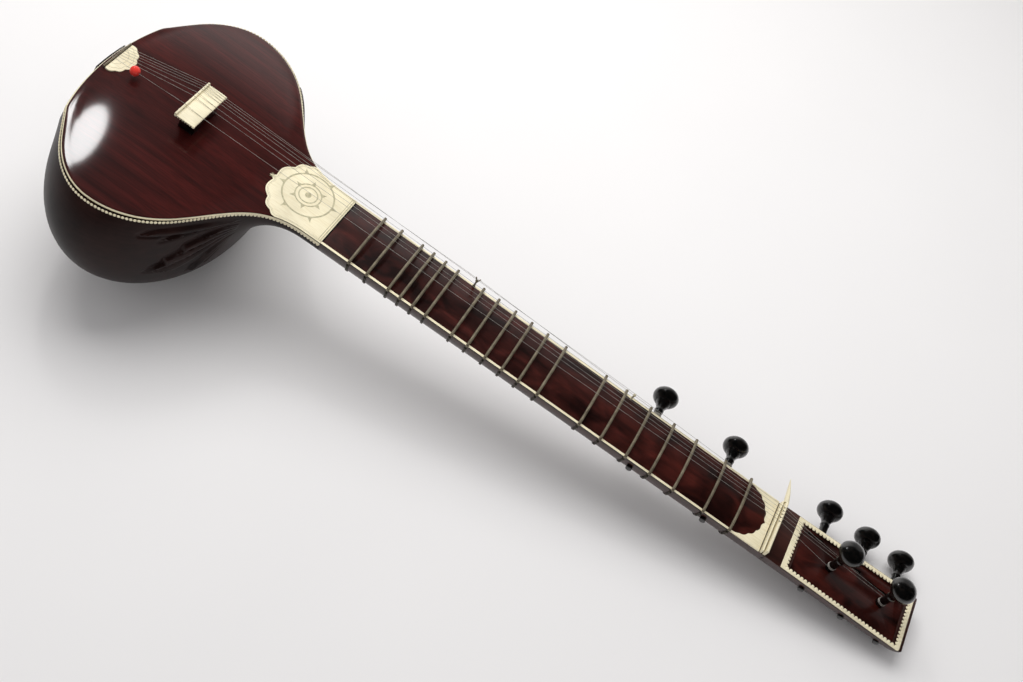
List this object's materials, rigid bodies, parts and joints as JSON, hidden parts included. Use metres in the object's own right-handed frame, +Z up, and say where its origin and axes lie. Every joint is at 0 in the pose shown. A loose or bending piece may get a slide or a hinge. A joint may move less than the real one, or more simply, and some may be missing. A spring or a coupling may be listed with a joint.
{
  "type": "sitar",
  "caption": "Long-necked lute lying on its back: gourd body, hollow neck with movable tied frets, and strings wound on friction pegs.",
  "frame": {"origin": "on the table, under the middle of the whole instrument's bounding box", "axes": "+X from the gourd towards the pegs, +Y towards the side where the pegs stand out, +Z up out of the soundboard side"},
  "size_m": [1.2722, 0.4242, 0.2559],
  "materials": {
    "toon_lacquer": "glossy reddish-brown lacquer over close-grained wood",
    "dark_lacquer": "very dark brown lacquer over gourd and carved wood",
    "neck_lacquer": "dark brown lacquered wood",
    "board_lacquer": "polished dark red wood",
    "bone": "aged bone, polished, with hairline engraving",
    "ebony": "polished black ebony",
    "brass": "tarnished brass",
    "steel": "drawn music wire",
    "red_glass": "glossy opaque red glass",
    "bare_wood": "unfinished softwood"
  },
  "bodies": {
    "instrument": {"bridge_body": "ebony", "bridge_plate": "bone", "bridge_rail": "bone", "drone_post_bone": "bone", "drone_post_brass": "brass", "edge_strip_far": "bone", "edge_strip_near": "bone", "fingerboard": "board_lacquer", "gourd_bowl": "dark_lacquer", "head_plate": "bone", "hitch_block": "ebony", "inner_brace": "bare_wood", "leaf_carving_far": "dark_lacquer", "leaf_carving_near": "dark_lacquer", "neck": "neck_lacquer", "nut": "bone", "nut_spur": "bone", "pegbox": "neck_lacquer", "pegbox_border": "bone", "pegbox_lid": "board_lacquer", "rim_binding": "bone", "rosette_plate": "bone", "shoulder": "dark_lacquer", "soundboard": "toon_lacquer", "string_1_main": "steel", "string_2": "steel", "string_3": "steel", "string_4": "steel", "string_5": "steel", "string_6_drone": "steel", "string_7_drone": "steel", "tail_plate": "bone", "tail_rail": "brass"},
    "fret_01_body": {"fret_01": "brass"},
    "fret_02_body": {"fret_02": "brass"},
    "fret_03_body": {"fret_03": "brass"},
    "fret_04_body": {"fret_04": "brass"},
    "fret_05_body": {"fret_05": "brass"},
    "fret_06_body": {"fret_06": "brass"},
    "fret_07_body": {"fret_07": "brass"},
    "fret_08_body": {"fret_08": "brass"},
    "fret_09_body": {"fret_09": "brass"},
    "fret_10_body": {"fret_10": "brass"},
    "fret_11_body": {"fret_11": "brass"},
    "fret_12_body": {"fret_12": "brass"},
    "fret_13_body": {"fret_13": "brass"},
    "fret_14_body": {"fret_14": "brass"},
    "fret_15_body": {"fret_15": "brass"},
    "fret_16_body": {"fret_16": "brass"},
    "fret_17_body": {"fret_17": "brass"},
    "fret_18_body": {"fret_18": "brass"},
    "fret_19_body": {"fret_19": "brass"},
    "peg_drone_1_body": {"peg_drone_1": "ebony"},
    "peg_drone_2_body": {"peg_drone_2": "ebony"},
    "peg_front_1_body": {"peg_front_1": "ebony"},
    "peg_front_2_body": {"peg_front_2": "ebony"},
    "peg_side_1_body": {"peg_side_1": "ebony"},
    "peg_side_2_body": {"peg_side_2": "ebony"},
    "peg_side_3_body": {"peg_side_3": "ebony"},
    "tuning_bead_body": {"tuning_bead": "red_glass"}
  },
  "joints": [
    {"name": "fret_01_slide", "type": "slide", "parent": "instrument", "child": "fret_01_body", "axis": [0.986, 0, -0.167], "range_m": [-0.005, 0.005]},
    {"name": "fret_02_slide", "type": "slide", "parent": "instrument", "child": "fret_02_body", "axis": [0.986, 0, -0.167], "range_m": [-0.005, 0.0004]},
    {"name": "fret_03_slide", "type": "slide", "parent": "instrument", "child": "fret_03_body", "axis": [0.986, 0, -0.167], "range_m": [-0.005, 0.005]},
    {"name": "fret_04_slide", "type": "slide", "parent": "instrument", "child": "fret_04_body", "axis": [0.986, 0, -0.167], "range_m": [-0.005, 0.002]},
    {"name": "fret_05_slide", "type": "slide", "parent": "instrument", "child": "fret_05_body", "axis": [0.986, 0, -0.167], "range_m": [-0.005, 0.005]},
    {"name": "fret_06_slide", "type": "slide", "parent": "instrument", "child": "fret_06_body", "axis": [0.986, 0, -0.167], "range_m": [-0.005, 0.005]},
    {"name": "fret_07_slide", "type": "slide", "parent": "instrument", "child": "fret_07_body", "axis": [0.986, 0, -0.167], "range_m": [-0.005, 0.005]},
    {"name": "fret_08_slide", "type": "slide", "parent": "instrument", "child": "fret_08_body", "axis": [0.986, 0, -0.167], "range_m": [-0.005, 0.005]},
    {"name": "fret_09_slide", "type": "slide", "parent": "instrument", "child": "fret_09_body", "axis": [0.986, 0, -0.167], "range_m": [-0.005, 0.005]},
    {"name": "fret_10_slide", "type": "slide", "parent": "instrument", "child": "fret_10_body", "axis": [0.986, 0, -0.167], "range_m": [-0.005, 0.005]},
    {"name": "fret_11_slide", "type": "slide", "parent": "instrument", "child": "fret_11_body", "axis": [0.986, 0, -0.167], "range_m": [-0.005, 0.005]},
    {"name": "fret_12_slide", "type": "slide", "parent": "instrument", "child": "fret_12_body", "axis": [0.986, 0, -0.167], "range_m": [-0.005, 0.005]},
    {"name": "fret_13_slide", "type": "slide", "parent": "instrument", "child": "fret_13_body", "axis": [0.986, 0, -0.167], "range_m": [-0.005, 0.005]},
    {"name": "fret_14_slide", "type": "slide", "parent": "instrument", "child": "fret_14_body", "axis": [0.986, 0, -0.167], "range_m": [-0.005, 0.005]},
    {"name": "fret_15_slide", "type": "slide", "parent": "instrument", "child": "fret_15_body", "axis": [0.986, 0, -0.167], "range_m": [-0.005, 0.005]},
    {"name": "fret_16_slide", "type": "slide", "parent": "instrument", "child": "fret_16_body", "axis": [0.986, 0, -0.167], "range_m": [-0.005, 0.005]},
    {"name": "fret_17_slide", "type": "slide", "parent": "instrument", "child": "fret_17_body", "axis": [0.986, 0, -0.167], "range_m": [-0.005, 0.005]},
    {"name": "fret_18_slide", "type": "slide", "parent": "instrument", "child": "fret_18_body", "axis": [0.986, 0, -0.167], "range_m": [-0.005, 0.005]},
    {"name": "fret_19_slide", "type": "slide", "parent": "instrument", "child": "fret_19_body", "axis": [0.986, 0, -0.167], "range_m": [-0.005, 0.005]},
    {"name": "drone_1_turn", "type": "hinge", "parent": "instrument", "child": "peg_drone_1_body", "pos_m": [0.21582, -0.0475, 0.08747], "axis": [0, 1, 0], "continuous": true},
    {"name": "drone_2_turn", "type": "hinge", "parent": "instrument", "child": "peg_drone_2_body", "pos_m": [0.33069, -0.0475, 0.06802], "axis": [0, 1, 0], "continuous": true},
    {"name": "front_1_turn", "type": "hinge", "parent": "instrument", "child": "peg_front_1_body", "pos_m": [0.50334, 0.003, 0.0185], "axis": [0.167, 0, 0.986], "continuous": true},
    {"name": "front_2_turn", "type": "hinge", "parent": "instrument", "child": "peg_front_2_body", "pos_m": [0.58369, 0.003, 0.00489], "axis": [0.167, 0, 0.986], "continuous": true},
    {"name": "side_1_turn", "type": "hinge", "parent": "instrument", "child": "peg_side_1_body", "pos_m": [0.48499, -0.0475, 0.04189], "axis": [0, 1, 0], "continuous": true},
    {"name": "side_2_turn", "type": "hinge", "parent": "instrument", "child": "peg_side_2_body", "pos_m": [0.5471, -0.0475, 0.03137], "axis": [0, 1, 0], "continuous": true},
    {"name": "side_3_turn", "type": "hinge", "parent": "instrument", "child": "peg_side_3_body", "pos_m": [0.60281, -0.0475, 0.02193], "axis": [0, 1, 0], "continuous": true},
    {"name": "bead_slide", "type": "slide", "parent": "instrument", "child": "tuning_bead_body", "axis": [0.9836, -0.1564, 0.09], "range_m": [-0.008, 0.02]}
  ]
}
